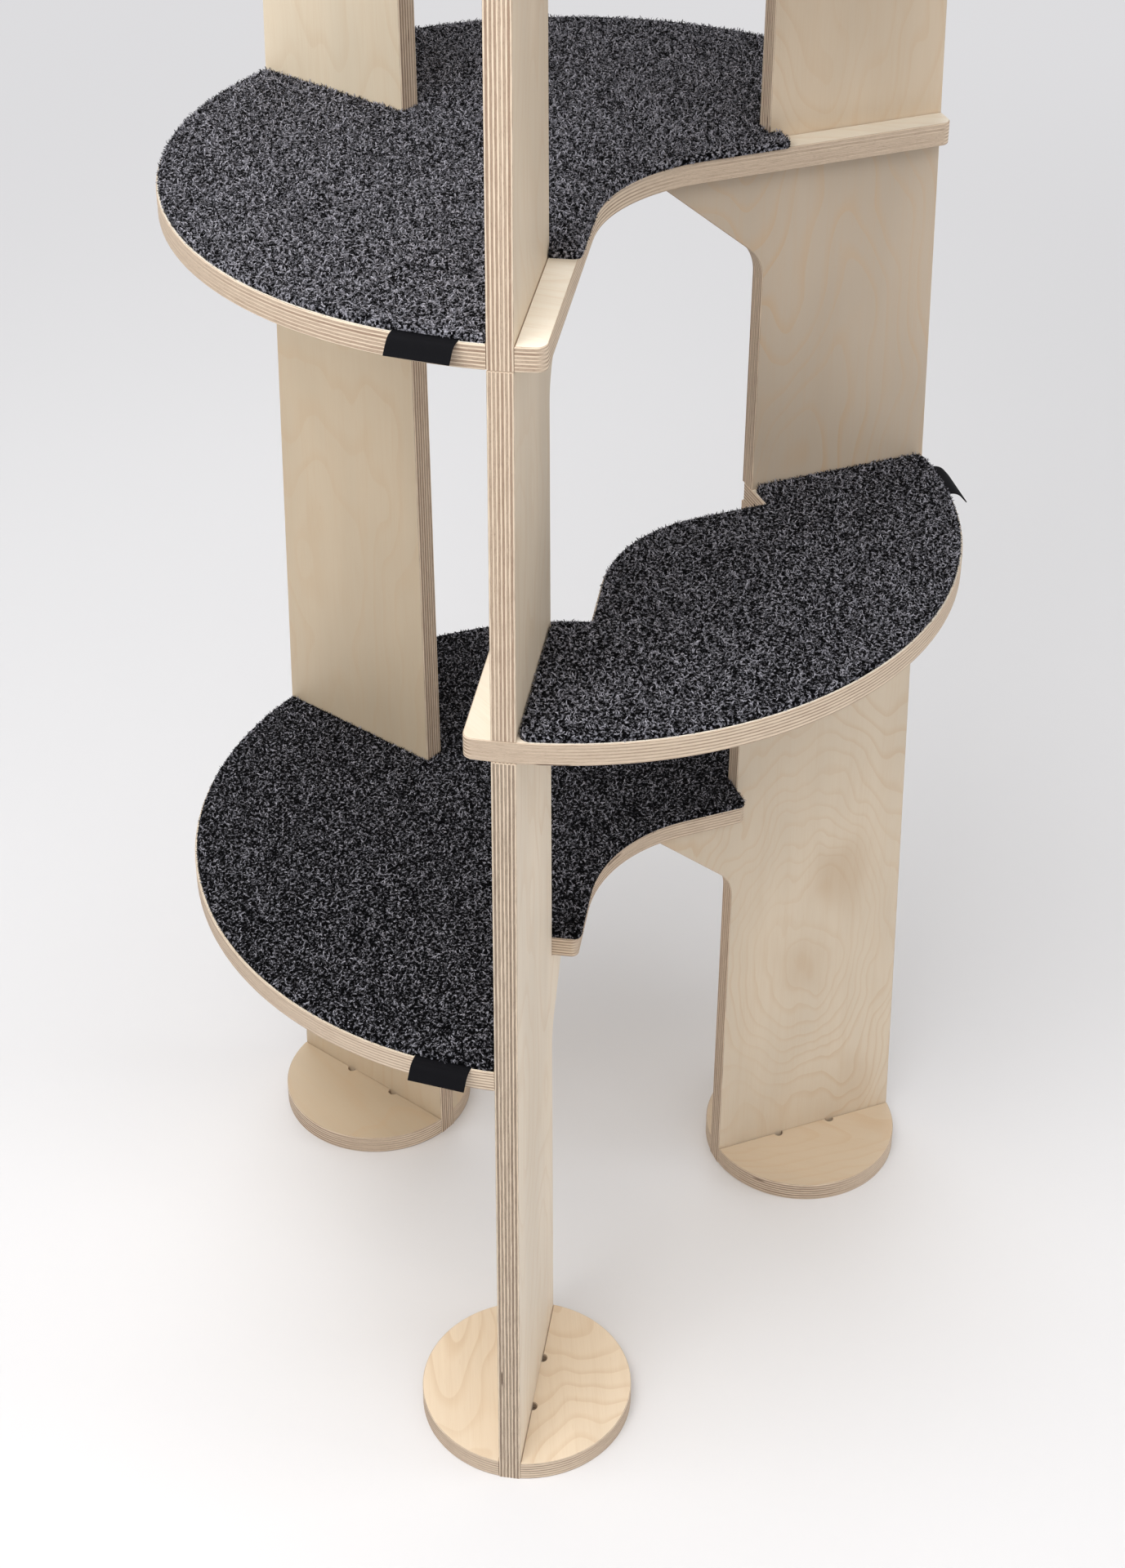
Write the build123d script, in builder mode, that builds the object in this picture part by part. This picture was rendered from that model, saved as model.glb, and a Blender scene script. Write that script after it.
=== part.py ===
"""Cat tree of birch plywood: three radial uprights, five carpeted decks and three round feet.

The front is -Y. The uprights stand 120 degrees apart about one vertical axis, and each board lies in a
plane through it. Odd decks cover the two rear sectors, and even decks are steps in the open front sector.
"""
import os
from math import asin, cos, degrees, radians, sin, sqrt, tan

from build123d import *

os.makedirs("parts", exist_ok=True)

# Boards and levels, in millimetres
PLY = 18.0                # plywood of every wooden piece
EASE = 0.6                # chamfer on the edges of every board
PLAY = 0.25               # room on each side of a board in its slot
RELIEF = 8.0              # round relief that the cutter leaves in an inner corner
FIRST_DECK = 440.0        # top of the lowest deck
DECK_RISE = 300.0         # from one deck top to the next

# Uprights: the outer edge leans in and the inner edge leans out a little
SPREAD = 60.0             # angle of each front upright from the front
OUTER_FOOT = 330.0        # radius of the outer edge at the floor
OUTER_LEAN = 0.030        # lean per unit of height
INNER_FOOT = 150.0        # radius of the inner edge at the floor
INNER_LEAN = 0.005
BRACKET_TIP = 64.0        # radius that a bracket under a wide deck reaches
BRACKET_NOSE = 4.0
BRACKET_DROP = 80.0       # depth of the bracket where it leaves the board
BRACKET_BEND = 35.0       # round between the bracket and the inner edge
NOSE_ROUND = 3.0

# Feet
FOOT_BRIDGE = 46.0        # wood between the two slots of a foot
FOOT_RADIUS = (OUTER_FOOT - INNER_FOOT) / 2
FOOT_CENTRE = (OUTER_FOOT + INNER_FOOT) / 2

# Deck outlines
LEDGE = 21.0              # strip of deck beyond the face of a front upright
SECTOR_EDGE = PLY / 2 + LEDGE
SECTOR_BEND = 130.0       # inner corner of the open sector
KERF = 8.0                # gap in plan between a wide deck and the step in its sector
RIM_CORNER = 8.0
HOOK_CORNER = 6.0
STEP_CORNER = 4.0
TONGUE_CUT = 25.0         # corner cut from the inner end of a step's tongue

# Carpet and tabs
MAT = 7.0
MAT_INSET = 2.0           # bare line of wood round the carpet
MAT_ROUND = 2.5
MAT_PLAY = 1.0            # room between carpet and board
MAT_BARE = 8.0            # bare wood at the inner edge of a board that stands in a slot
TAB_WIDTH = 45.0
TAB_THICK = 1.4
TAB_OFFSET = 50.0         # from the middle of the nearest board to the middle of the tab
TAB_HIDDEN = 14.0         # length under the carpet
TAB_LIP = 0.6             # straight length past the rim
TAB_BEND = 12.0
TAB_DROOP = 50.0          # angle of the hanging end below level
TAB_END = 7.0

# Dowels and screws
DOWEL = 8.0
FIT = 0.1                 # room round a dowel or a screw
DOWEL_DEPTH = 30.0        # hole in the end of a board
DOWEL_CAP = 12.0          # hole in the underside of the top deck
DOWEL_EDGE = 38.0         # from the edge of the board
DOWEL_POINT = 1.0
SCREW = 4.5
SCREW_HEAD = 9.0
SCREW_LENGTH = 50.0
SCREW_POINT = 6.0
SINK_ANGLE = 82.0
DRIVE = 4.0               # hexagon socket across its flats
DRIVE_DEPTH = 2.2
DECK_SCREW = 112.0        # radius of the screws that hold a wide deck to its brackets
FOOT_PITCH = 24.0         # between the two screws in a foot
FOOT_SCREWS = (FOOT_CENTRE - FOOT_PITCH / 2, FOOT_CENTRE + FOOT_PITCH / 2)

LEFT, RIGHT, REAR = -SPREAD, SPREAD, 180.0
UPRIGHTS = {"left": LEFT, "right": RIGHT, "rear": REAR}
FRONT_SIDES = ((LEFT, 1), (RIGHT, -1))    # each front upright, and the side of it that faces the front
SLOT_DECKS, STEP_DECKS, TOP_DECK = (1, 3), (2, 4), 5
FAR = 2 * OUTER_FOOT      # past every rim


def deck_top(level):
    return FIRST_DECK + DECK_RISE * (level - 1)


def deck_under(level):
    return deck_top(level) - PLY


def nearest_deck(z):
    return round((z - FIRST_DECK) / DECK_RISE) + 1


def outer_edge(z):
    return OUTER_FOOT - OUTER_LEAN * z


def inner_edge(z):
    return INNER_FOOT + INNER_LEAN * z


# The origin is the middle of the footprint, and the axis of the tree stands a little ahead of it
AXIS_Y = (outer_edge(deck_top(2)) - OUTER_FOOT) / 2


def board_plane(angle):
    """Plane of an upright: x runs out from the axis and y runs up."""
    a = radians(angle)
    return Plane(origin=(0, AXIS_Y, 0), x_dir=(sin(a), -cos(a), 0), z_dir=(-cos(a), -sin(a), 0))


def level_plane(z):
    return Plane(origin=(0, AXIS_Y, z))


def along(angle, out, across=0.0):
    """Place in plan, out along an upright and across from its middle, turned to lie along it."""
    turn = angle - 90
    a = radians(turn)
    return Location((out * cos(a) - across * sin(a), out * sin(a) + across * cos(a), 0), (0, 0, turn))


def at(angle, out, z, face_down=False):
    """Place in space on the middle plane of an upright."""
    spot = along(angle, out).position
    return Location((spot.X, spot.Y + AXIS_Y, z), (180 if face_down else 0, 0, 0))


def ease(piece, normal):
    """Take the sharp edge off both flat faces of a board."""
    flats = piece.faces().filter_by(Plane(origin=(0, 0, 0), z_dir=normal))
    chamfer(flats.edges(), EASE)


def corner(sketch, spot):
    return sketch.vertices().sort_by_distance(spot)[0]


def save(piece, name):
    piece.part.label = name
    export_step(piece.part, f"parts/{name}.step")


def dowel_places(angle, level):
    """The two dowels of the joint between boards at a deck."""
    z = deck_top(level)
    return [along(angle, inner_edge(z) + DOWEL_EDGE), along(angle, outer_edge(z) - DOWEL_EDGE)]


def bore(places, diameter, z, depth):
    """Round holes from height z, down where the depth is negative."""
    with BuildSketch(level_plane(z)) as rounds:
        with Locations(*places):
            Circle(diameter / 2 + FIT)
    extrude(rounds.sketch, amount=depth, mode=Mode.SUBTRACT)


def reliefs(angle, out):
    """Round reliefs in the two inner corners of a slot."""
    half = PLY / 2 + PLAY
    with Locations(along(angle, out, half), along(angle, out, -half)):
        Circle(RELIEF / 2, mode=Mode.SUBTRACT)


# Feet: a disc with two slots, between which the board straddles a bridge
def make_foot(name, angle):
    with BuildPart() as foot:
        with BuildSketch(level_plane(0)):
            with Locations(along(angle, FOOT_CENTRE)):
                Circle(FOOT_RADIUS)
            for end, outward in ((-1, Align.MAX), (1, Align.MIN)):
                with Locations(along(angle, FOOT_CENTRE + end * FOOT_BRIDGE / 2)):
                    slot = (outward, Align.CENTER)
                    Rectangle(FOOT_RADIUS, PLY + 2 * PLAY, align=slot, mode=Mode.SUBTRACT)
                reliefs(angle, FOOT_CENTRE + end * (FOOT_BRIDGE + RELIEF) / 2)
        extrude(amount=PLY)
        ease(foot, (0, 0, 1))
        with Locations(*(at(angle, out, 0, face_down=True) for out in FOOT_SCREWS)):
            CounterSinkHole(SCREW / 2 + FIT, SCREW_HEAD / 2, PLY, SINK_ANGLE)
    save(foot, name)


# Uprights: tapered boards with brackets on the inner edge
def make_upright(name, angle, bottom, top, brackets):
    """A board from bottom to top, with a bracket under each wide deck and dowel holes in its ends."""
    with BuildPart() as upright:
        with BuildSketch(board_plane(angle)) as profile:
            with BuildLine():
                Polyline(
                    (outer_edge(bottom), bottom),
                    (outer_edge(top), top),
                    (inner_edge(top), top),
                    (inner_edge(bottom), bottom),
                    close=True,
                )
            make_face()
            for level in brackets:
                shelf = deck_under(level)
                root = shelf - BRACKET_DROP
                with BuildLine():
                    Polyline(
                        (inner_edge(shelf) + PLY, shelf),
                        (BRACKET_TIP, shelf),
                        (BRACKET_TIP, shelf - BRACKET_NOSE),
                        (inner_edge(root), root),
                        (inner_edge(root) + PLY, root),
                        close=True,
                    )
                make_face()
                fillet(corner(profile, (inner_edge(root), root, 0)), BRACKET_BEND)
                fillet(corner(profile, (BRACKET_TIP, shelf - BRACKET_NOSE, 0)), NOSE_ROUND)
            if bottom == 0:
                with Locations((FOOT_CENTRE, 0)):
                    notch = (Align.CENTER, Align.MIN)
                    Rectangle(FOOT_BRIDGE + 2 * PLAY, PLY, align=notch, mode=Mode.SUBTRACT)
            for end in (bottom, top):
                if end > 0:
                    chamfer(corner(profile, (outer_edge(end), end, 0)), EASE)
        extrude(amount=PLY / 2, both=True)
        ease(upright, board_plane(angle).z_dir)
        bore(dowel_places(angle, nearest_deck(top)), DOWEL, top, -DOWEL_DEPTH)
        if bottom > 0:
            bore(dowel_places(angle, nearest_deck(bottom)), DOWEL, bottom, DOWEL_DEPTH)
        else:
            bore([along(angle, out) for out in FOOT_SCREWS], SCREW, PLY, SCREW_LENGTH - PLY)
        for level in brackets:
            if level in SLOT_DECKS:
                bore([along(angle, DECK_SCREW)], SCREW, deck_under(level), PLY - SCREW_LENGTH)
    save(upright, name)


# Decks
def front_sector(edge, bend, mode):
    """The sector between the front uprights, with sides parallel to their boards and a round inner corner."""
    tip = edge / sin(radians(SPREAD))
    side = FAR * sin(radians(SPREAD))
    front = -tip - FAR * cos(radians(SPREAD))
    with BuildLine() as sides:
        FilletPolyline((-side, front), (0, -tip), (side, front), radius=(0, bend, 0), close=True)
    make_face(sides.edges(), mode=mode)


def open_disc(sketch, radius, edge):
    """A disc with the front sector left open."""
    Circle(radius)
    front_sector(edge, SECTOR_BEND, Mode.SUBTRACT)
    for angle, front in FRONT_SIDES:
        rim = along(angle, sqrt(radius**2 - edge**2), front * edge)
        fillet(corner(sketch, rim.position), RIM_CORNER)


def cut_slots(start, play):
    for angle in UPRIGHTS.values():
        with Locations(along(angle, start)):
            Rectangle(FAR, PLY + 2 * play, align=(Align.MIN, Align.CENTER), mode=Mode.SUBTRACT)


def cut_ledges(sketch, start, edge):
    """Leave out what lies beyond the front boards, so that only a hook is left at their inner edge."""
    for angle, front in FRONT_SIDES:
        with Locations(along(angle, start, front * FAR / 2)):
            Rectangle(FAR, FAR, align=(Align.MIN, Align.CENTER), mode=Mode.SUBTRACT)
        fillet(corner(sketch, along(angle, start, front * edge).position), HOOK_CORNER)


def make_wide_deck(name, level):
    """A deck over the two rear sectors: the lowest hooks round the front boards, the next has slots."""
    start = inner_edge(deck_under(level)) - PLAY
    with BuildPart() as deck:
        with BuildSketch(level_plane(deck_under(level))) as outline:
            open_disc(outline, outer_edge(deck_top(level)), SECTOR_EDGE)
            cut_slots(start, PLAY)
            for angle in UPRIGHTS.values():
                reliefs(angle, start + RELIEF / 2)
            if level == 1:
                cut_ledges(outline, start, SECTOR_EDGE)
        extrude(amount=PLY)
        ease(deck, (0, 0, 1))
        with Locations(*(at(angle, DECK_SCREW, deck_top(level)) for angle in UPRIGHTS.values())):
            CounterSinkHole(SCREW / 2 + FIT, SCREW_HEAD / 2, PLY, SINK_ANGLE)
    save(deck, name)


def make_top_deck(name):
    """The same outline without slots, on dowels in the ends of all three uprights."""
    with BuildPart() as deck:
        with BuildSketch(level_plane(deck_under(TOP_DECK))) as outline:
            open_disc(outline, outer_edge(deck_top(TOP_DECK)), SECTOR_EDGE)
        extrude(amount=PLY)
        ease(deck, (0, 0, 1))
        for angle in UPRIGHTS.values():
            bore(dowel_places(angle, TOP_DECK), DOWEL, deck_under(TOP_DECK), DOWEL_CAP)
    save(deck, name)


def step_outline(sketch, radius, edge, inner, back):
    """Outline of a step: the front sector, with a band along each front board as far back as asked."""
    front_sector(edge, SECTOR_BEND - edge + SECTOR_EDGE, Mode.ADD)
    for angle, front in FRONT_SIDES:
        with Locations(along(angle, inner, front * (edge - back) / 2)):
            Rectangle(FAR, edge + back, align=(Align.MIN, Align.CENTER))
    Circle(radius, mode=Mode.INTERSECT)
    for angle, front in FRONT_SIDES:
        rim = along(angle, sqrt(radius**2 - back**2), -front * back)
        fillet(corner(sketch, rim.position), RIM_CORNER)
        tongue = corner(sketch, along(angle, inner, -front * back).position)
        if back > 0:
            chamfer(tongue, TONGUE_CUT)
        else:
            fillet(tongue, HOOK_CORNER)
        fillet(corner(sketch, along(angle, inner, front * edge).position), STEP_CORNER)


def make_step_deck(name, level):
    radius = outer_edge(deck_top(level))
    inner = inner_edge(deck_top(level))
    with BuildPart() as deck:
        with BuildSketch(level_plane(deck_under(level))) as outline:
            step_outline(outline, radius, SECTOR_EDGE + KERF, inner, SECTOR_EDGE)
        extrude(amount=PLY)
        ease(deck, (0, 0, 1))
        for angle in (LEFT, RIGHT):
            bore(dowel_places(angle, level), DOWEL, deck_under(level), PLY)
    save(deck, name)


# Carpet: one mat on each deck, with a folded tab at its rim
def tab_angle(level):
    """The tab sits to the left of a front board: the left one on wide decks, the right one on steps."""
    board = RIGHT if level in STEP_DECKS else LEFT
    return board - degrees(asin(TAB_OFFSET / outer_edge(deck_top(level))))


def make_mat(name, level):
    radius = outer_edge(deck_top(level)) - MAT_INSET
    inner = inner_edge(deck_top(level))
    with BuildPart() as mat:
        with BuildSketch(level_plane(deck_top(level))) as outline:
            edge = SECTOR_EDGE + MAT_INSET
            if level in STEP_DECKS:
                step_outline(outline, radius, edge + KERF, inner + MAT_INSET, -PLY / 2 - MAT_PLAY)
            else:
                open_disc(outline, radius, edge)
            if level == 1:
                cut_slots(inner - MAT_PLAY, MAT_PLAY)
                cut_ledges(outline, inner - MAT_PLAY, edge)
            if level == 3:
                cut_slots(inner - MAT_PLAY, MAT_PLAY)
                cut_ledges(outline, inner + MAT_BARE, edge)
        extrude(amount=MAT)
        fillet(mat.faces().sort_by(Axis.Z)[-1].edges(), MAT_ROUND)
        rim = outer_edge(deck_top(level))
        with BuildSketch(board_plane(tab_angle(level))):
            with Locations((rim, deck_top(level))):
                Rectangle(2 * (TAB_HIDDEN + MAT_PLAY), 2 * (TAB_THICK + PLAY))
        extrude(amount=TAB_WIDTH / 2 + MAT_PLAY, both=True, mode=Mode.SUBTRACT)
    save(mat, name)


def make_tab(name, level):
    """A folded strip that lies under the edge of the carpet and droops over the rim."""
    rim = outer_edge(deck_top(level))
    height = deck_top(level) + TAB_THICK / 2
    with BuildPart() as tab:
        with BuildSketch(board_plane(tab_angle(level))):
            with BuildLine() as middle:
                flat = Line((rim - TAB_HIDDEN, height), (rim + TAB_LIP, height))
                bend = JernArc(flat @ 1, flat % 1, TAB_BEND, -TAB_DROOP)
                Line(bend @ 1, bend @ 1 + TAB_END * (bend % 1))
            trace(middle.line, TAB_THICK)
        extrude(amount=TAB_WIDTH / 2, both=True)
    save(tab, name)


# Fastenings, each kind one group of loose pieces
def make_dowels(name, length, places):
    with BuildPart() as dowel:
        Cylinder(DOWEL / 2, length, align=(Align.CENTER, Align.CENTER, Align.MIN))
        chamfer(dowel.edges().filter_by(GeomType.CIRCLE), DOWEL_POINT)
    make_group(name, dowel, places)


def make_screws(name, places):
    cone = (SCREW_HEAD - SCREW) / 2 / tan(radians(SINK_ANGLE / 2))
    with BuildPart() as screw:
        with BuildSketch(Plane.XZ):
            with BuildLine():
                Polyline(
                    (0, 0),
                    (SCREW_HEAD / 2, 0),
                    (SCREW / 2, -cone),
                    (SCREW / 2, SCREW_POINT - SCREW_LENGTH),
                    (0, -SCREW_LENGTH),
                    close=True,
                )
            make_face()
        revolve(axis=Axis.Z)
        with BuildSketch():
            RegularPolygon(DRIVE / 2, 6, major_radius=False)
        extrude(amount=-DRIVE_DEPTH, mode=Mode.SUBTRACT)
    make_group(name, screw, places)


def make_group(name, piece, places):
    with BuildPart() as group:
        with Locations(*places):
            add(piece.part)
    save(group, name)


def dowel_spots(level, angles):
    """Feet of the dowels that stand in the boards below a deck."""
    base = level_plane(deck_under(level) - DOWEL_DEPTH).location
    return [base * place for angle in angles for place in dowel_places(angle, level)]


def screw_spots(level):
    return [at(angle, DECK_SCREW, deck_top(level)) for angle in UPRIGHTS.values()]


for side, angle in UPRIGHTS.items():
    make_foot(f"foot_{side}", angle)

for side in ("left", "right"):
    angle = UPRIGHTS[side]
    make_upright(f"upright_{side}_1", angle, 0, deck_under(2), [1])
    make_upright(f"upright_{side}_2", angle, deck_top(2), deck_under(3), [3])
    make_upright(f"upright_{side}_3", angle, deck_under(3), deck_under(4), [])
    make_upright(f"upright_{side}_4", angle, deck_top(4), deck_under(5), [5])
make_upright("upright_rear_1", REAR, 0, deck_under(3), [1, 3])
make_upright("upright_rear_2", REAR, deck_under(3), deck_under(5), [5])

for level in SLOT_DECKS:
    make_wide_deck(f"deck_{level}", level)
for level in STEP_DECKS:
    make_step_deck(f"deck_{level}", level)
make_top_deck(f"deck_{TOP_DECK}")

for level in range(1, TOP_DECK + 1):
    make_mat(f"mat_{level}", level)
    make_tab(f"tab_{level}", level)

step_spots = dowel_spots(2, (LEFT, RIGHT)) + dowel_spots(4, (LEFT, RIGHT))
make_dowels("step_dowels", 2 * DOWEL_DEPTH + PLY, step_spots)
make_dowels("butt_dowels", 2 * DOWEL_DEPTH, dowel_spots(3, UPRIGHTS.values()))
make_dowels("top_dowels", DOWEL_DEPTH + DOWEL_CAP, dowel_spots(TOP_DECK, UPRIGHTS.values()))
make_screws("deck_screws", screw_spots(1) + screw_spots(3))
make_screws("foot_screws", [at(a, out, 0, face_down=True) for a in UPRIGHTS.values() for out in FOOT_SCREWS])
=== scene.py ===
"""Cat tree of birch plywood with carpeted decks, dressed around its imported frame."""
import math

import bmesh
import bpy
from bpy.props import FloatProperty, FloatVectorProperty, IntProperty, PointerProperty
from mathutils import Matrix, Vector


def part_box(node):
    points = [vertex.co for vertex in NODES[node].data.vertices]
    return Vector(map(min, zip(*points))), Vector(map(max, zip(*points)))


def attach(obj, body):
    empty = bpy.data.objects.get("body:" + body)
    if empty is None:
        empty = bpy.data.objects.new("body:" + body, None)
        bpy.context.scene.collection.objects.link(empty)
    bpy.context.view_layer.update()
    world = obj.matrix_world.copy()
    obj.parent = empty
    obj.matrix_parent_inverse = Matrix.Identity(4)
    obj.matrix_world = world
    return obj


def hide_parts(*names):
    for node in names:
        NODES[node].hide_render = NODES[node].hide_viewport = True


bl_info = {
    "name": "Plywood Cat Tree",
    "version": (1, 0, 0),
    "blender": (4, 5, 0),
    "location": "View3D > Sidebar > Cat Tree",
    "description": "Finishes a plywood cat tree: boards, carpets, tabs, fastenings and a studio stage",
    "category": "Object",
}

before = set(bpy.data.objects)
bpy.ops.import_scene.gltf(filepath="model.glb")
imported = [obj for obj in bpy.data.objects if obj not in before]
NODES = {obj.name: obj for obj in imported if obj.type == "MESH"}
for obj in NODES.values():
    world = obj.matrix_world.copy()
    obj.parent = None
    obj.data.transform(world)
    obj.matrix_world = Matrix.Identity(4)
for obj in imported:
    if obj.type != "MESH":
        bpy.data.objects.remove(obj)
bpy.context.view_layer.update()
BODY = "root"
MM = 0.001

# The uprights stand about one axis, at these angles from the front
TURNS = {"left": math.radians(-60), "right": math.radians(60), "rear": math.radians(180)}
LEVELS = range(1, 6)
TOP_LOW, TOP_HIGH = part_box("deck_5")
AXIS = Vector((0, TOP_HIGH.y - (TOP_HIGH.x - TOP_LOW.x) / 2, 0))
PLY = TOP_HIGH.z - TOP_LOW.z

# From one flat board to the next, the grain turns by this
GRAIN_TURN = math.radians(37)

# From one board to the next, the noise in its veneer and in its edges is read this far away
VENEER_APART = 9.7
EDGES_APART = 4.3

# Swirls in the face of one board: out from the axis, up from the floor, reach, strength and stain
KNOTS = {
    "upright_right_1": (
        (0.245, 0.270, 0.125, 0.46, 0.0),
        (0.266, 0.318, 0.030, 0.05, 0.36),
        (0.227, 0.222, 0.026, 0.05, 0.20),
        (0.290, 0.068, 0.020, 0.03, 0.16),
    ),
}

# A swirl is longer along the grain than across it
KNOT_STRETCH = 1.45

# How many growth lines a face has, and how clearly they show
FIGURE = {
    "foot_left": (33, 0.50),
    "foot_right": (28, 0.46),
    "upright_right_1": (27, 0.46),
    "upright_right_2": (31, 0.66),
    "upright_right_3": (38, 0.40),
}
PLAIN_FIGURE = (23, 0.29)

# Veneer that is lighter, darker or warmer than the rest
TINTS = {
    # deck_2 is whitened all over as a painted highlight, for the strong light on its tongue
    "deck_2": (1.05, 1.08, 1.14),
    "deck_3": (1.02, 1.08, 1.15),
    "upright_left_1": (1.16, 1.21, 1.29),
    "upright_right_2": (0.77, 0.75, 0.75),
    "upright_right_3": (0.96, 0.93, 0.90),
    "upright_rear_1": (0.90, 0.865, 0.80),
    "upright_rear_2": (1.07, 1.08, 1.06),
    "foot_left": (1.12, 1.13, 1.16),
    "foot_right": (0.87, 0.855, 0.85),
    "foot_rear": (0.77, 0.755, 0.73),
}
PLAIN_TINT = (1, 1, 1)

# Boards whose dark plies are darker than the rest
DARK_CORES = {"upright_left_1": 0.6}

# Painted shade and light per mat, as a shift of the lie of its wool: mats 1 and 2 darker, as if shaded by
# the decks above, and mat 3 lighter. The shift also changes the length of their tufts
PAINTED_MAT_SHADE = {1: -0.042, 2: -0.011, 3: 0.017}

# Tufts: share of the width lost at the tip, the most they lean either way, and how many are offered to a
# square metre before the pitch thins them
TUFT_TAPER = 0.55
TUFT_LEAN = 0.7
TUFTS_OFFERED = 1.5e6

# Tabs: how far the tape turns down over the rim, and the steps of its bend, its fold and its width
TAB_DROOP = math.radians(50)
BEND_STEPS = 9
FOLD_STEPS = 6
STRIPS = 8

# Distance between the two layers of a tab, and of the lower one from the deck, in thicknesses of tape
TAPE_GAP = 1.6
TAPE_LIFT = 0.6

# Loose corners this close are one corner
MERGE = 0.002 * MM

# Half the width of the floor, and the distances over which it fades into the backdrop
FLOOR_REACH = 12
FADE = (1.3, 3.3)

# Soft boxes: place, aim and width
LAMPS = {
    "key": ((-0.7, -1.0, 3.2), (0, 0, 0.6), 3.0),
    "side": ((-1.6, 0.6, 3.0), (0, 0, 0.7), 2.4),
    "near": ((-1.7, -0.4, 2.3), (0, 0, 0.8), 1.4),
    "fill": ((1.9, -3.0, 1.5), (0, 0, 0.7), 1.8),
    "back": ((2.4, 2.8, 3.5), (1.6, 2.0, 0), 4.0),
}


def colour(name, about, default):
    return FloatVectorProperty(
        name=name, description=about, subtype="COLOR", size=3, min=0, max=1, default=default)


def length(name, about, default):
    return FloatProperty(name=name, description=about, unit="LENGTH", min=0, default=default)


def rotation(name, about, default):
    return FloatProperty(name=name, description=about, unit="ROTATION", default=default)


def power(name, about, default):
    return FloatProperty(name=name, description=about, unit="POWER", min=0, default=default)


class CatTreePly(bpy.types.PropertyGroup):
    """Finish of the birch plywood."""

    face: colour("Upright face", "Pale veneer of the upright boards", (0.765, 0.645, 0.495))
    foot_face: colour("Foot face", "Warmer veneer of the feet", (0.785, 0.645, 0.472))
    deck_face: colour("Deck face", "Palest veneer, on the decks", (0.90, 0.785, 0.625))
    line: colour("Growth line", "Late wood in the figure of the veneer", (0.60, 0.385, 0.20))
    light_ply: colour("Light ply", "Plies cut along the grain, seen on an edge", (0.80, 0.66, 0.505))
    dark_ply: colour("Dark ply", "Plies cut across the grain, seen on an edge", (0.335, 0.225, 0.155))
    gap: colour("Core gap", "Small gaps and knots in the core plies", (0.10, 0.055, 0.03))
    plies: IntProperty(name="Plies", description="Number of plies in a board", min=3, default=13)


class CatTreeCarpet(bpy.types.PropertyGroup):
    """Finish of the carpets."""

    # The dark fibre is painted shade in the pits; the light fibre is the wool's own grey with a painted
    # highlight on the crowns
    dark: colour("Dark fibre", "Pits between the clumps of wool", (0.002, 0.002, 0.0024))
    middle: colour("Middle fibre", "Most of the wool", (0.082, 0.082, 0.093))
    light: colour("Light fibre", "Crowns of the clumps", (0.365, 0.36, 0.405))
    clump: length("Clump", "Distance between clumps of wool", 2.45 * MM)
    sunk: length("Pile height", "How far the ground of the pile lies below its top", 1.6 * MM)
    tuft: length("Tuft length", "Length of one tuft along its curl", 3.0 * MM)
    curl: rotation("Curl", "Bend of a tuft from root to tip", 1.7)
    width: length("Tuft width", "Width of one tuft at its root", 0.8 * MM)
    pitch: length("Tuft pitch", "Least distance between tufts", 1.15 * MM)


class CatTreeTab(bpy.types.PropertyGroup):
    """Size and finish of the folded tape tabs."""

    tape: colour("Tape", "Colour of the woven tape", (0.0045, 0.0045, 0.0055))
    width: length("Width", "Width of the tape", 45 * MM)
    hidden: length("Hidden end", "Length under the carpet", 13.5 * MM)
    lip: length("Lip", "Straight length past the rim", 0.6 * MM)
    bend: length("Bend", "Radius over the rim", 12 * MM)
    hanging: length("Hanging end", "Straight length below the bend", 7 * MM)
    thick: length("Thickness", "Thickness of one layer", 0.35 * MM)


class CatTreeStage(bpy.types.PropertyGroup):
    """Floor, light and camera."""

    floor: colour("Floor", "Pale studio floor", (0.825, 0.82, 0.828))
    far: colour("Backdrop", "Pale grey that the floor fades to, far from the tree", (0.725, 0.72, 0.735))
    sky: colour("Surround", "Even light from all round", (0.82, 0.82, 0.845))
    surround: FloatProperty(
        name="Surround level", description="Strength of the even light", min=0, default=0.25)
    key: power("Key light", "Soft box overhead", 52)
    side: power("Side light", "Soft box high on the left, behind", 37)
    near: power("Near light", "Small soft box on the left", 21)
    fill: power("Fill light", "Soft box low in front, on the right", 26)
    back: power("Back light", "Wide soft box over the floor behind", 78)
    eye: FloatVectorProperty(
        name="Camera", description="Place of the camera", subtype="XYZ", unit="LENGTH",
        default=(-1.395, -1.123, 1.783))
    turn: rotation("Turn", "Heading of the camera from straight ahead", math.radians(51.26))
    tilt: rotation("Tilt", "Angle of the camera below level", math.radians(33.14))
    lens: FloatProperty(name="Lens", description="Focal length for a frame 36 mm high", default=60)
    shift: FloatProperty(name="Shift", description="Downward shift of the frame", default=-0.086)


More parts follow.
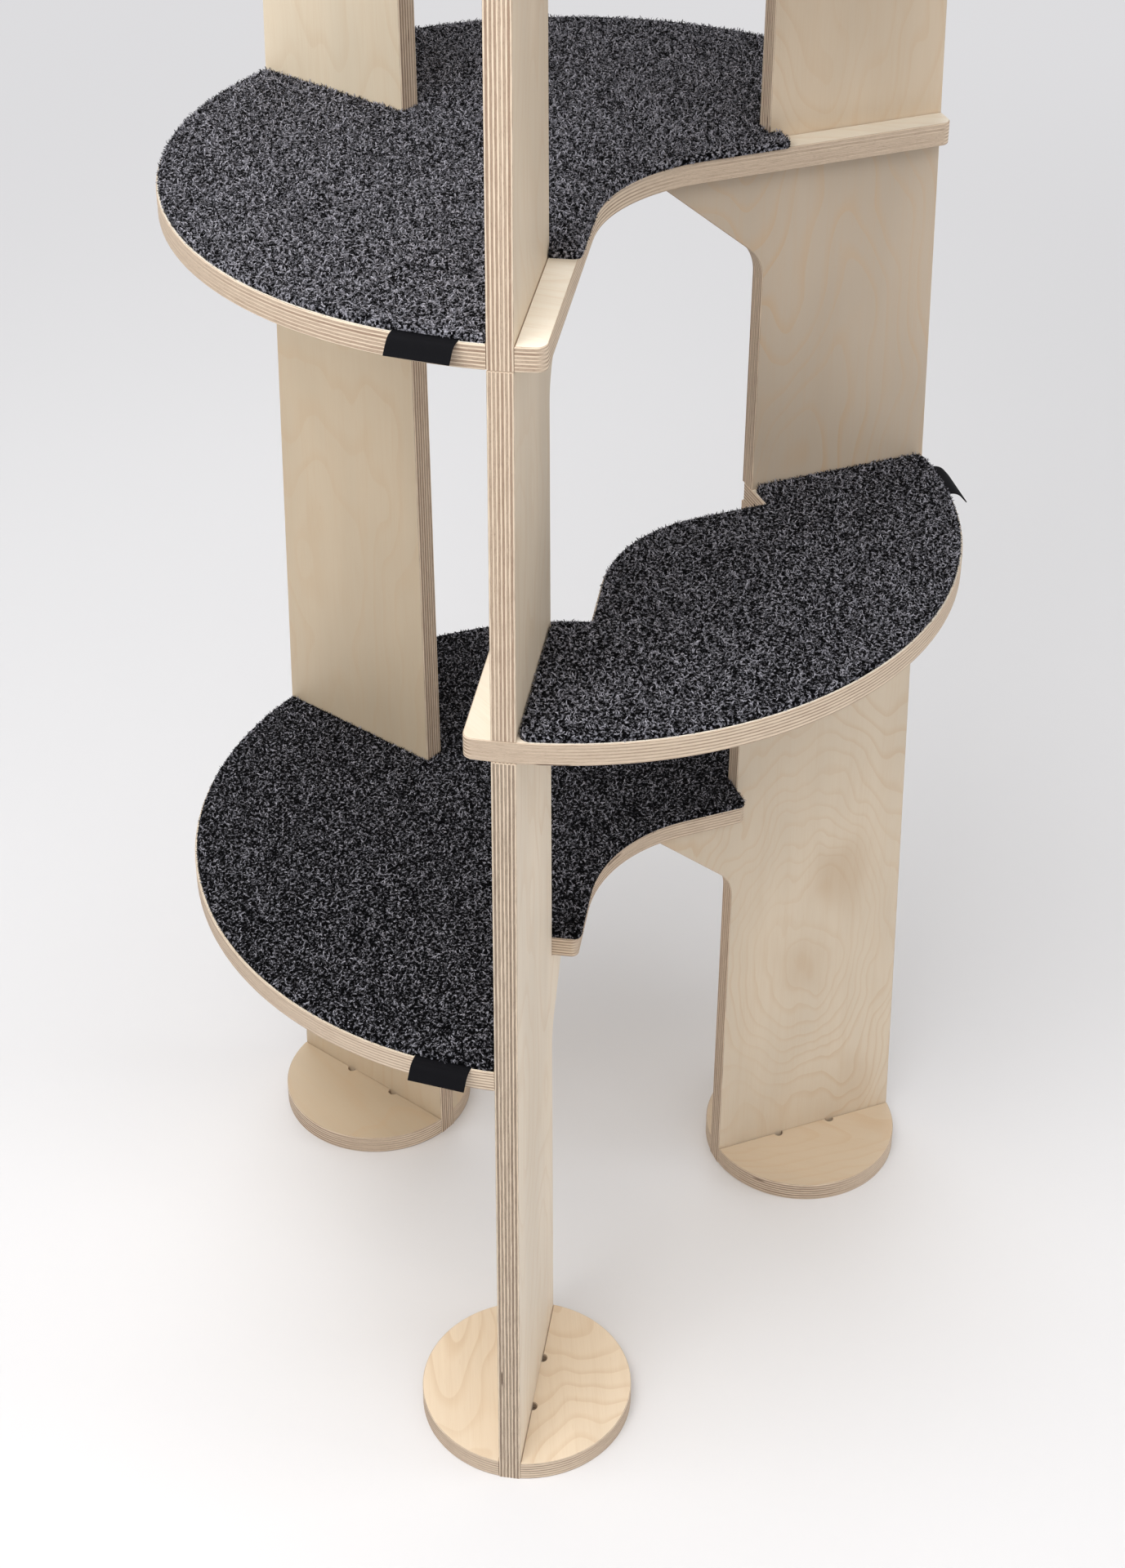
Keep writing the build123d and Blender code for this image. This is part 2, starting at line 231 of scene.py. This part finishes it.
class Shade:
    """A socket in a node tree. Arithmetic on it adds Math nodes, and node() adds any other node."""

    def __init__(self, tree, socket=None):
        self.tree = tree
        self.socket = socket

    def node(self, kind, settings=(), inputs=(), output=0):
        """Add a node, apply its settings, then set or link its inputs. Returns one of its outputs."""
        made = self.tree.nodes.new(kind)
        for name, value in dict(settings).items():
            setattr(made, name, value)
        for name, value in dict(inputs).items():
            if isinstance(value, Shade):
                self.tree.links.new(value.socket, made.inputs[name])
            else:
                made.inputs[name].default_value = value
        return Shade(self.tree, made.outputs[output] if made.outputs else None)

    def output(self, name):
        """Another output of the same node."""
        return Shade(self.tree, self.socket.node.outputs[name])

    def math(self, operation, *values):
        return self.node("ShaderNodeMath", {"operation": operation}, dict(enumerate(values)))

    def __add__(self, other):
        return self.math("ADD", self, other)

    def __radd__(self, other):
        return self.math("ADD", other, self)

    def __sub__(self, other):
        return self.math("SUBTRACT", self, other)

    def __rsub__(self, other):
        return self.math("SUBTRACT", other, self)

    def __mul__(self, other):
        return self.math("MULTIPLY", self, other)

    def __rmul__(self, other):
        return self.math("MULTIPLY", other, self)

    def __truediv__(self, other):
        return self.math("DIVIDE", self, other)

    def __abs__(self):
        return self.math("ABSOLUTE", self)

    def join(self, x, y, z):
        return self.node("ShaderNodeCombineXYZ", inputs={0: x, 1: y, 2: z})

    def parts(self):
        """The three parts of a vector."""
        x = self.node("ShaderNodeSeparateXYZ", inputs={0: self})
        return x, x.output("Y"), x.output("Z")

    def towards(self, way):
        """How far a direction lies along a way, either way round."""
        pair = {0: self, 1: way}
        return abs(self.node("ShaderNodeVectorMath", {"operation": "DOT_PRODUCT"}, pair, output="Value"))

    def step(self, low, high):
        """Smooth step from 0 at low to 1 at high."""
        limits = {"Value": self, "From Min": low, "From Max": high}
        return self.node("ShaderNodeMapRange", {"interpolation_type": "SMOOTHSTEP"}, limits)

    def noise(self, x, y, z, detail=2.0, roughness=0.5):
        spot = self.join(x, y, z)
        return self.node("ShaderNodeTexNoise", inputs={
            "Vector": spot, "Scale": 1.0, "Detail": detail, "Roughness": roughness})

    def blend(self, factor, first, second):
        """Mix of two colours."""
        ends = {0: factor, 6: opaque(first), 7: opaque(second)}
        return self.node("ShaderNodeMix", {"data_type": "RGBA"}, ends, output=2)


def opaque(value):
    return value if isinstance(value, Shade) else (*value, 1.0)


def new_material(name):
    """An empty material, with a Shade to build it from."""
    material = bpy.data.materials.new(name)
    material.use_nodes = True
    material.node_tree.nodes.clear()
    return material, Shade(material.node_tree)


def surface(shade, **inputs):
    """Principled surface at the end of a material. Names use _ for a space."""
    named = {name.replace("_", " "): value for name, value in inputs.items()}
    shader = shade.node("ShaderNodeBsdfPrincipled", inputs=named)
    shade.node("ShaderNodeOutputMaterial", inputs={"Surface": shader})


def bump(shade, height, strength, distance):
    return shade.node("ShaderNodeBump", inputs={
        "Height": height, "Strength": strength, "Distance": distance})


# Birch plywood
def swirls(knots, cross, along):
    """How far the growth field of a face is raised round its knots, and how much they stain it."""
    raised = stain = 0
    for out, up, reach, strength, mark in knots:
        aside = (cross - out) / reach
        above = (along - up) / (KNOT_STRETCH * reach)
        fall = 0 - (aside * aside + above * above)
        swell = fall.math("EXPONENT", fall)
        raised = raised + swell * strength
        stain = stain + swell.step(0.05, 1.0) * mark
    return raised, stain


def veneer(shade, ply, tone, along, cross, seed, board):
    """Colour and height of a peeled face: growth lines as contours of a slow field, with fine fibre."""

    def grain(wide, long, offset, **kind):
        """Noise with so many repeats a metre across the grain and along it."""
        return shade.noise(cross * wide, along * long, seed + offset, **kind)

    field = grain(5.2, 2.1, 0, detail=3, roughness=0.42)
    if board in KNOTS:
        stray = (grain(24, 11, 41.3) - 0.5) * 0.05
        raised, stain = swirls(KNOTS[board], cross + stray, along - stray)
        field = field + raised
    rings, clear = FIGURE.get(board, PLAIN_FIGURE)
    count = field * rings
    ring = count.math("FRACT", count)
    patchy = grain(13, 6, 3.7, detail=3)
    # Late wood deepens up to each growth line, ends sharply past it, and fades out in patches
    line = (ring.step(0.56, 0.95) - ring.step(0.955, 1.0)) * (patchy * 1.25 - 0.18)
    fibre = grain(1300, 30, 11.3, detail=3)
    band = grain(160, 5, 17.9, detail=3)
    pore = grain(560, 60, 23.1, detail=1).step(0.72, 0.82)
    cloud = grain(10, 3, 31.9, detail=3)
    dull = tuple(0.88 * c for c in tone)
    tint = shade.blend(cloud.step(0.32, 0.72), tone, dull)
    tint = shade.blend(line * clear, tint, ply.line)
    tint = shade.blend((fibre * 0.5 + band * 0.5).step(0.40, 0.80) * 0.20, tint, ply.line)
    tint = shade.blend(pore * 0.16, tint, ply.line)
    if board in KNOTS:
        murk = stain * (0.45 + patchy)
        tint = shade.blend(murk, tint, tuple(0.80 * c for c in ply.line))
    return tint, fibre


def laminate(shade, ply, along, cross, thick, end, seed, board):
    """Colour and height of a sawn edge. A ply is light along its grain and dark across it. Where end is 1,
    the outer plies are cut across their grain."""

    def sawn(repeats, depth, **kind):
        """Noise with so many repeats a metre along the edge."""
        return shade.noise(cross * repeats, along * repeats, depth, **kind)

    sway = sawn(26, seed + 5.1) - 0.5
    layer = (thick / PLY + 0.5) * ply.plies + sway * 0.26
    # Every second ply lies as the outer ones do, and the borders between them wander
    half = (layer + 1.5) * 0.5
    uneven = sawn(40, layer * 0.9 + seed, detail=1) * 0.5
    outer = (abs(half.math("FRACT", half) - 0.5) * 2).step(uneven + 0.26, uneven + 0.52)
    across = outer * end + (1 - outer) * (1 - end)
    whole = layer.math("FLOOR", layer)
    own = shade.node("ShaderNodeTexWhiteNoise", {"noise_dimensions": "1D"}, {"W": whole + seed})
    dark = across * (0.62 + own * 0.38)
    streak = sawn(90, thick * 2600 + seed, detail=4, roughness=0.62)
    fleck = sawn(420, thick * 3400 + seed, roughness=0.6)
    glue = (abs(layer.math("FRACT", layer) - 0.5) * 2).step(0.78, 1.0)
    hollow = sawn(15, whole * 7.3 + seed, detail=1).step(0.755, 0.785)
    core = tuple(DARK_CORES.get(board, 1.0) * c for c in ply.dark_ply)
    tint = shade.blend(dark, ply.light_ply, core)
    tint = shade.blend(streak.step(0.45, 0.75) * 0.50, tint, core)
    tint = shade.blend((1 - streak).step(0.50, 0.80) * 0.55, tint, ply.light_ply)
    tint = shade.blend(fleck.step(0.54, 0.70) * across * 0.55, tint, tuple(0.5 * c for c in core))
    tint = shade.blend(glue * 0.20, tint, ply.gap)
    tint = shade.blend(hollow * 0.85, tint, ply.gap)
    return tint, streak - hollow


def ply_material(name, seed):
    """Plywood of one board, in the board's own frame: along the grain, across it and through the plies."""
    ply = bpy.context.scene.cat_tree_ply
    material, shade = new_material(f"birch_{name}")
    upright = name.startswith("upright")
    low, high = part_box(name)
    if upright:
        spin = TURNS[name.split("_")[1]] - math.pi / 2
        middle = 0
        tone = ply.face
        grain = (0, 0, 1)
        through = (-math.sin(spin), math.cos(spin), 0)
    else:
        spin = GRAIN_TURN * seed
        middle = (low.z + high.z) / 2
        tone = ply.foot_face if name.startswith("foot") else ply.deck_face
        grain = (math.cos(spin), math.sin(spin), 0)
        through = (0, 0, 1)
    tone = tuple(t * c for t, c in zip(TINTS.get(name, PLAIN_TINT), tone))
    place = shade.node("ShaderNodeTexCoord", output="Object")
    local = shade.node("ShaderNodeMapping", {"vector_type": "TEXTURE"}, {
        "Vector": place, "Location": (0, AXIS.y, middle), "Rotation": (0, 0, spin)})
    x, y, z = local.parts()
    along, cross, thick = (z, x, y) if upright else (x, y, z)
    normal = shade.node("ShaderNodeNewGeometry", output="True Normal")
    flat = normal.towards(through).step(0.78, 0.86)
    face, fibre = veneer(shade, ply, tone, along, cross, VENEER_APART * seed, name)
    end = normal.towards(grain)
    edge, streak = laminate(shade, ply, along, cross, thick, end * end, EDGES_APART * seed, name)
    height = fibre * flat * 0.35 + streak * (1 - flat)
    surface(shade, Base_Color=shade.blend(flat, edge, face), Roughness=0.74 - flat * 0.24 + fibre * 0.06,
            Normal=bump(shade, height, 0.35, 0.12 * MM))
    return material


# Carpet
def wool(shade, place, carpet, level):
    """Lie of the wool over a mat, from its pits to its crowns."""
    x, y, z = (part / carpet.clump for part in place.parts())
    # The lie of each mat is shifted by its painted shade and light
    return shade.noise(x, y, z, detail=3, roughness=0.62) + PAINTED_MAT_SHADE.get(level, 0.0)


def wool_heather_and_painted_light(shade, carpet, lie):
    """Heather of dark, middle and light fibres by the lie of the wool. The dark in the pits is painted
    shade, and the light on the crowns is the wool's own grey with a painted highlight.
    """
    mixed = shade.blend(lie.step(0.46, 0.55), carpet.dark, carpet.middle)
    return shade.blend(lie.step(0.515, 0.665), mixed, carpet.light)


def pile_material(carpet):
    material, shade = new_material("carpet_pile")
    lie = shade.node("ShaderNodeAttribute", {"attribute_name": "lie"}, output="Fac")
    tip = shade.node("ShaderNodeAttribute", {"attribute_name": "tip"}, output="Fac")
    fibres = wool_heather_and_painted_light(shade, carpet, lie)
    # Each tuft fades to the dark fibre towards its root, as painted shade deep in the pile
    fibres_with_root_shade = shade.blend(tip.step(-0.4, 0.6), carpet.dark, fibres)
    surface(shade, Base_Color=fibres_with_root_shade, Roughness=0.88 - tip * 0.12, Specular_IOR_Level=0.04)
    return material


def ground_material(carpet, level):
    material, shade = new_material(f"carpet_ground_{level}")
    lie = wool(shade, shade.node("ShaderNodeTexCoord", output="Object"), carpet, level)
    surface(shade, Base_Color=wool_heather_and_painted_light(shade, carpet, lie), Roughness=0.8 + lie * 0.2,
            Specular_IOR_Level=0.02, Normal=bump(shade, lie, 0.9, 1.2 * MM))
    return material


def merged_copy(node):
    """A bmesh of a CAD node with its loose triangles joined."""
    bm = bmesh.new()
    bm.from_mesh(NODES[node].data)
    bmesh.ops.remove_doubles(bm, verts=bm.verts, dist=MERGE)
    return bm


def new_piece(name, bm, material):
    """Make an object of a bmesh that rides with the tree."""
    mesh = bpy.data.meshes.new(name)
    bm.to_mesh(mesh)
    bm.free()
    mesh.materials.append(material)
    piece = bpy.data.objects.new(name, mesh)
    bpy.context.collection.objects.link(piece)
    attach(piece, BODY)
    return piece


def tuft_template(carpet):
    """One tuft that curls over from its root at the origin, with the way along it marked."""
    bm = bmesh.new()
    tip = bm.verts.layers.float.new("tip")
    across = bm.verts.layers.float.new("across")
    bmesh.ops.create_grid(bm, x_segments=1, y_segments=2, size=0.5)
    for v in bm.verts:
        along = v.co.y + 0.5
        v[tip] = along
        v[across] = v.co.x
        bend = carpet.curl * along
        wide = carpet.width * (1 - TUFT_TAPER * along**2)
        v.co = Vector((v.co.x * wide, 1 - math.cos(bend), math.sin(bend)))
        v.co.yz *= carpet.tuft / carpet.curl
    mesh = bpy.data.meshes.new("tuft")
    bm.to_mesh(mesh)
    bm.free()
    return bpy.data.objects.new("tuft", mesh)


def pile_nodes(tuft, carpet, level):
    """Geometry nodes that stand tufts all over a mat: long and light on the crowns of its wool, short and
    dark in the pits."""
    group = bpy.data.node_groups.new("pile", "GeometryNodeTree")
    group.interface.new_socket("Geometry", in_out="INPUT", socket_type="NodeSocketGeometry")
    group.interface.new_socket("Geometry", in_out="OUTPUT", socket_type="NodeSocketGeometry")
    tree = Shade(group)

    def chance(seed, low, high):
        span = {2: low, 3: high, "Seed": seed}
        return tree.node("FunctionNodeRandomValue", {"data_type": "FLOAT"}, span, output=1)

    def kept(name):
        return tree.node("GeometryNodeInputNamedAttribute", {"data_type": "FLOAT"}, {"Name": name})

    spots = tree.node("GeometryNodeDistributePointsOnFaces", {"distribute_method": "POISSON"}, {
        "Mesh": tree.node("NodeGroupInput"), "Distance Min": carpet.pitch,
        "Density Max": TUFTS_OFFERED, "Seed": level})
    most = Vector((TUFT_LEAN, TUFT_LEAN, math.pi))
    lean = tree.node("FunctionNodeRandomValue", {"data_type": "FLOAT_VECTOR"}, {
        0: -most, 1: most, "Seed": 11})
    sway = tree.node("FunctionNodeEulerToRotation", inputs={0: lean})
    stand = tree.node("FunctionNodeRotateRotation", {"rotation_space": "LOCAL"}, {
        "Rotation": spots.output("Rotation"), "Rotate By": sway})
    lie = wool(tree, tree.node("GeometryNodeInputPosition"), carpet, level)
    up = abs(spots.output("Normal").parts()[2])
    # Tufts are shorter in the pits and down the sides
    size = (0.6 + lie.step(0.36, 0.66) * 0.6) * (0.55 + up * 0.45) * chance(17, 0.8, 1.2)
    shape = tree.node("GeometryNodeObjectInfo", inputs={"Object": tuft}, output="Geometry")
    tufts = tree.node("GeometryNodeInstanceOnPoints", inputs={
        "Points": spots, "Instance": shape, "Rotation": stand, "Scale": size})
    marked = tree.node("GeometryNodeStoreNamedAttribute", {"data_type": "FLOAT", "domain": "INSTANCE"}, {
        "Geometry": tufts, "Name": "lie", "Value": lie * 0.8 + chance(23, -0.07, 0.27)})
    loose = tree.node("GeometryNodeRealizeInstances", inputs={0: marked})
    # Each tuft takes a narrow strip of one shared swatch, by its colour across and its length up
    swatch = tree.join(kept("lie") + kept("across") * 0.01, kept("tip") * 0.96 + 0.02, 0)
    made = tree.node("GeometryNodeStoreNamedAttribute", {"data_type": "FLOAT2", "domain": "CORNER"}, {
        "Geometry": loose, "Name": "OFBake", "Value": swatch})
    tree.node("NodeGroupOutput", inputs={0: made})
    return group


def grow_pile(piece, group):
    """Replace a piece's mesh by the pile that stands on it."""
    grown = piece.modifiers.new("pile", "NODES")
    grown.node_group = group
    material = piece.data.materials[0]
    ready = piece.evaluated_get(bpy.context.evaluated_depsgraph_get())
    mesh = bpy.data.meshes.new_from_object(ready)
    piece.modifiers.clear()
    piece.data = mesh
    mesh.materials.clear()
    mesh.materials.append(material)
    mesh.name = piece.name


def underside(bm):
    """Faces that look down."""
    return [f for f in bm.faces if f.normal.z < -0.5]


def make_pile(name, base, way, material, group):
    """Pile of one half of a mat."""
    bm = bmesh.new()
    bm.from_mesh(base.data)
    bmesh.ops.delete(bm, geom=underside(bm), context="FACES")
    everything = [*bm.verts, *bm.edges, *bm.faces]
    bmesh.ops.bisect_plane(bm, geom=everything, plane_co=AXIS, plane_no=(way, 0, 0), clear_inner=True)
    piece = new_piece(name, bm, material)
    grow_pile(piece, group)
    return piece


def make_carpet(level, carpet, tuft, pile):
    """Ground of one mat, cut from its solid, with pile on its top and sides."""
    node = f"mat_{level}"
    group = pile_nodes(tuft, carpet, level)
    low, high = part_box(node)
    bm = merged_copy(node)
    shoulder = (low.z + high.z) / 2
    upper = [v for v in bm.verts if v.co.z > shoulder]
    bmesh.ops.translate(bm, verts=upper, vec=(0, 0, -carpet.sunk))
    bm.normal_update()
    area = sum(f.calc_area() for f in underside(bm))
    base = new_piece(f"carpet_{level}", bm, ground_material(carpet, level))
    halves = {"left": -1, "right": 1}
    tufts = [make_pile(f"pile_{level}_{side}", base, way, pile, group) for side, way in halves.items()]
    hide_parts(node)
    bpy.data.node_groups.remove(group)


# Tabs
def tape_material(tab):
    material, shade = new_material("woven_tape")
    x, y, _ = shade.node("ShaderNodeUVMap", {"uv_map": "tape"}).parts()
    weft = shade.math("SINE", y * 2400)
    warp = shade.math("SINE", x * 5200)
    weave = weft * 0.6 + warp * 0.4
    worn = shade.noise(x * 90, y * 90, 1.7, detail=3)
    lifted = tuple(2.2 * c for c in tab.tape)
    tint = shade.blend((weave * 0.25 + 0.35) * worn, tab.tape, lifted)
    surface(shade, Base_Color=tint, Roughness=0.72 + worn * 0.2, Specular_IOR_Level=0.06,
            Normal=bump(shade, weave, 0.35, 0.08 * MM))
    return material


def run(bm, vert, x, z):
    """Carry a profile straight on by one edge."""
    made = bmesh.ops.extrude_vert_indiv(bm, verts=[vert])["verts"]
    bmesh.ops.translate(bm, verts=made, vec=(x, 0, z))
    return made[0]


def turn(bm, vert, centre, angle, steps):
    """Carry a profile round an arc. A positive angle turns from up towards out."""
    spun = bmesh.ops.spin(bm, geom=[vert], cent=centre, axis=(0, 1, 0), angle=angle, steps=steps)
    return next(v for v in spun["geom_last"] if isinstance(v, bmesh.types.BMVert))


def rim_radius(level):
    """Radius of a deck about the axis, from its furthest corner."""
    corners = NODES[f"deck_{level}"].data.vertices
    return max((Vector((v.co.x, v.co.y, 0)) - AXIS).length for v in corners)


def tape_profile(bm, tab, rim, deck_top):
    """Edges of a folded tape seen from its side: out over the rim, down, round the fold and back again."""
    gap = TAPE_GAP * tab.thick
    side = -tab.width / 2
    top = deck_top + TAPE_LIFT * tab.thick + gap
    centre = (rim + tab.lip, side, top - tab.bend)
    down = Vector((math.cos(TAB_DROOP), 0, -math.sin(TAB_DROOP))) * tab.hanging
    inward = Vector((-math.sin(TAB_DROOP), 0, -math.cos(TAB_DROOP))) * gap / 2
    first = bm.verts.new((rim - tab.hidden, side, top))
    lip = run(bm, first, tab.hidden + tab.lip, 0)
    bent = turn(bm, lip, centre, TAB_DROOP, BEND_STEPS)
    end = run(bm, bent, down.x, down.z)
    fold = turn(bm, end, end.co + inward, math.pi, FOLD_STEPS)
    back = run(bm, fold, -down.x, -down.z)
    level_again = turn(bm, back, centre, -TAB_DROOP, BEND_STEPS)
    run(bm, level_again, -tab.hidden - tab.lip, 0)
    return list(bm.edges)


def widen(bm, line, tab):
    """Draw a profile out sideways into a tape, strip by strip."""
    for _ in range(STRIPS):
        made = bmesh.ops.extrude_edge_only(bm, edges=line)["geom"]
        moved = [v for v in made if isinstance(v, bmesh.types.BMVert)]
        bmesh.ops.translate(bm, verts=moved, vec=(0, tab.width / STRIPS, 0))
        line = [e for e in made if isinstance(e, bmesh.types.BMEdge) and e.is_boundary and
                abs(e.verts[0].co.y - e.verts[1].co.y) < tab.thick]


def make_tab(level, tab, material):
    """A strip of tape folded double, held under the carpet and hanging over the rim."""
    node = f"tab_{level}"
    low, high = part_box(node)
    deck_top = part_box(f"deck_{level}")[1].z
    bm = bmesh.new()
    line = tape_profile(bm, tab, rim_radius(level), deck_top)
    widen(bm, line, tab)
    uv = bm.loops.layers.uv.new("tape")
    for f in bm.faces:
        for loop in f.loops:
            loop[uv].uv = (loop.vert.co.y, loop.vert.co.x + loop.vert.co.z)
    way = (low + high) / 2 - AXIS
    heading = Matrix.Rotation(math.atan2(way.y, way.x), 4, "Z")
    bmesh.ops.transform(bm, matrix=Matrix.Translation(AXIS) @ heading, verts=bm.verts)
    bmesh.ops.recalc_face_normals(bm, faces=bm.faces)
    piece = new_piece(f"tape_{level}", bm, material)
    wall = piece.modifiers.new("cloth", "SOLIDIFY")
    wall.thickness = tab.thick
    wall.offset = 0
    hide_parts(node)


# Fastenings
def dowel_material():
    material, shade = new_material("beech_dowel")
    x, y, z = shade.node("ShaderNodeTexCoord", output="Object").parts()
    grain = shade.noise(x * 1800, y * 1800, z * 45, detail=3)
    tint = shade.blend(grain, (0.62, 0.42, 0.26), (0.44, 0.27, 0.15))
    surface(shade, Base_Color=tint, Roughness=0.6 + grain * 0.2, Normal=bump(shade, grain, 0.3, 0.1 * MM))
    return material


def screw_material():
    material, shade = new_material("zinc_screw")
    x, y, z = shade.node("ShaderNodeTexCoord", output="Object").parts()
    bloom = shade.noise(x * 700, y * 700, z * 700, detail=4)
    tint = shade.blend(bloom, (0.62, 0.62, 0.63), (0.45, 0.45, 0.44))
    surface(shade, Base_Color=tint, Metallic=1.0, Roughness=0.28 + bloom * 0.22,
            Normal=bump(shade, bloom, 0.15, 0.05 * MM))
    return material


def coat(node, material):
    slots = NODES[node].data.materials
    slots.clear()
    slots.append(material)


class CATTREE_OT_boards(bpy.types.Operator):
    """Give each plywood board its own figure and its plies"""

    bl_idname = "cattree.boards"
    bl_label = "Birch boards"

    def execute(self, context):
        wooden = ("upright_", "deck_", "foot_")
        boards = [n for n in sorted(NODES) if n.startswith(wooden) and not n.endswith("screws")]
        for seed, node in enumerate(boards):
            coat(node, ply_material(node, seed + 1.0))
        return {"FINISHED"}


class CATTREE_OT_carpets(bpy.types.Operator):
    """Lay a carpet with standing pile on each deck"""

    bl_idname = "cattree.carpets"
    bl_label = "Carpets"

    def execute(self, context):
        carpet = context.scene.cat_tree_carpet
        pile = pile_material(carpet)
        tuft = tuft_template(carpet)
        for level in LEVELS:
            make_carpet(level, carpet, tuft, pile)
        bpy.data.objects.remove(tuft)
        return {"FINISHED"}


class CATTREE_OT_tabs(bpy.types.Operator):
    """Fold a tape tab over the rim of each deck"""

    bl_idname = "cattree.tabs"
    bl_label = "Tape tabs"

    def execute(self, context):
        tab = context.scene.cat_tree_tab
        material = tape_material(tab)
        for level in LEVELS:
            make_tab(level, tab, material)
        return {"FINISHED"}


class CATTREE_OT_fastenings(bpy.types.Operator):
    """Finish the dowels and the screws"""

    bl_idname = "cattree.fastenings"
    bl_label = "Dowels and screws"

    def execute(self, context):
        beech, zinc = dowel_material(), screw_material()
        for node in NODES:
            if node.endswith("dowels"):
                coat(node, beech)
            if node.endswith("screws"):
                coat(node, zinc)
        return {"FINISHED"}


# Stage
def soft_box(name, place, aim, wide, watts):
    lamp = bpy.data.lights.new(name, "AREA")
    lamp.size = wide
    lamp.energy = watts
    thing = bpy.data.objects.new(name, lamp)
    thing.location = place
    thing.rotation_euler = (Vector(aim) - Vector(place)).to_track_quat("-Z", "Y").to_euler()
    bpy.context.collection.objects.link(thing)


def backdrop_rays(shade):
    """1 on rays from the camera, off a mirror or through glass, which see the backdrop."""
    ray = shade.node("ShaderNodeLightPath", output="Is Camera Ray")
    mirrored = ray.math("MAXIMUM", ray.output("Is Glossy Ray"), ray.output("Is Transmission Ray"))
    return ray.math("MAXIMUM", ray, mirrored)


def floor_material(stage):
    material, shade = new_material("studio_floor")
    x, y, z = shade.node("ShaderNodeTexCoord", output="Object").parts()
    scuff = shade.noise(x * 3, y * 3, z, detail=4)
    tint = shade.blend(scuff * 0.06, stage.floor, tuple(0.9 * c for c in stage.floor))
    near = shade.node("ShaderNodeBsdfPrincipled", inputs={
        "Base Color": tint, "Roughness": 0.75 + scuff * 0.1})
    away = shade.math("SQRT", x * x + y * y).step(*FADE)
    backdrop = shade.node("ShaderNodeEmission", inputs={"Color": opaque(stage.far)})
    both = shade.node("ShaderNodeMixShader", inputs={0: away * backdrop_rays(shade), 1: near, 2: backdrop})
    shade.node("ShaderNodeOutputMaterial", inputs={"Surface": both})
    return material


def make_surround(stage):
    """A world that lights the tree evenly, and that shows as the backdrop."""
    world = bpy.data.worlds.new("surround")
    world.use_nodes = True
    world.node_tree.nodes.clear()
    shade = Shade(world.node_tree)
    light = shade.node("ShaderNodeBackground", inputs={
        "Color": opaque(stage.sky), "Strength": stage.surround})
    backdrop = shade.node("ShaderNodeBackground", inputs={"Color": opaque(stage.far)})
    both = shade.node("ShaderNodeMixShader", inputs={0: backdrop_rays(shade), 1: light, 2: backdrop})
    shade.node("ShaderNodeOutputWorld", inputs={"Surface": both})
    return world


def make_floor(stage):
    bm = bmesh.new()
    bmesh.ops.create_grid(bm, x_segments=1, y_segments=1, size=FLOOR_REACH)
    mesh = bpy.data.meshes.new("floor")
    bm.to_mesh(mesh)
    bm.free()
    mesh.materials.append(floor_material(stage))
    floor = bpy.data.objects.new("floor", mesh)
    bpy.context.collection.objects.link(floor)


def make_camera(stage):
    lens = bpy.data.cameras.new("camera")
    lens.lens = stage.lens
    lens.shift_y = stage.shift
    camera = bpy.data.objects.new("camera", lens)
    camera.location = stage.eye
    camera.rotation_euler = (math.pi / 2 - stage.tilt, 0, -stage.turn)
    bpy.context.collection.objects.link(camera)
    return camera


class CATTREE_OT_stage(bpy.types.Operator):
    """Set up the floor, the soft light and the camera"""

    bl_idname = "cattree.stage"
    bl_label = "Studio stage"

    def execute(self, context):
        scene = context.scene
        stage = scene.cat_tree_stage
        make_floor(stage)
        for name, (place, aim, wide) in LAMPS.items():
            soft_box(name, place, aim, wide, getattr(stage, name))
        scene.world = make_surround(stage)
        scene.camera = make_camera(stage)
        scene.view_settings.view_transform = "Standard"
        return {"FINISHED"}


STEPS = (CATTREE_OT_stage, CATTREE_OT_boards, CATTREE_OT_carpets, CATTREE_OT_tabs, CATTREE_OT_fastenings)


class CATTREE_PT_panel(bpy.types.Panel):
    """Steps and settings of the cat tree"""

    bl_idname = "CATTREE_PT_panel"
    bl_label = "Cat Tree"
    bl_space_type = "VIEW_3D"
    bl_region_type = "UI"
    bl_category = "Cat Tree"

    def draw(self, context):
        for step in STEPS:
            self.layout.operator(step.bl_idname)
        for name, kind in GROUPS.items():
            group = getattr(context.scene, name)
            box = self.layout.box()
            for setting in kind.__annotations__:
                box.prop(group, setting)


GROUPS = {
    "cat_tree_ply": CatTreePly,
    "cat_tree_carpet": CatTreeCarpet,
    "cat_tree_tab": CatTreeTab,
    "cat_tree_stage": CatTreeStage,
}
CLASSES = (*GROUPS.values(), *STEPS, CATTREE_PT_panel)


def register():
    for cls in CLASSES:
        bpy.utils.register_class(cls)
    for name, group in GROUPS.items():
        setattr(bpy.types.Scene, name, PointerProperty(type=group))


def unregister():
    for name in GROUPS:
        delattr(bpy.types.Scene, name)
    for cls in reversed(CLASSES):
        bpy.utils.unregister_class(cls)


def main():
    register()
    bpy.ops.cattree.stage()
    bpy.ops.cattree.boards()
    bpy.ops.cattree.carpets()
    bpy.ops.cattree.tabs()
    bpy.ops.cattree.fastenings()


if __name__ == "__main__":
    main()
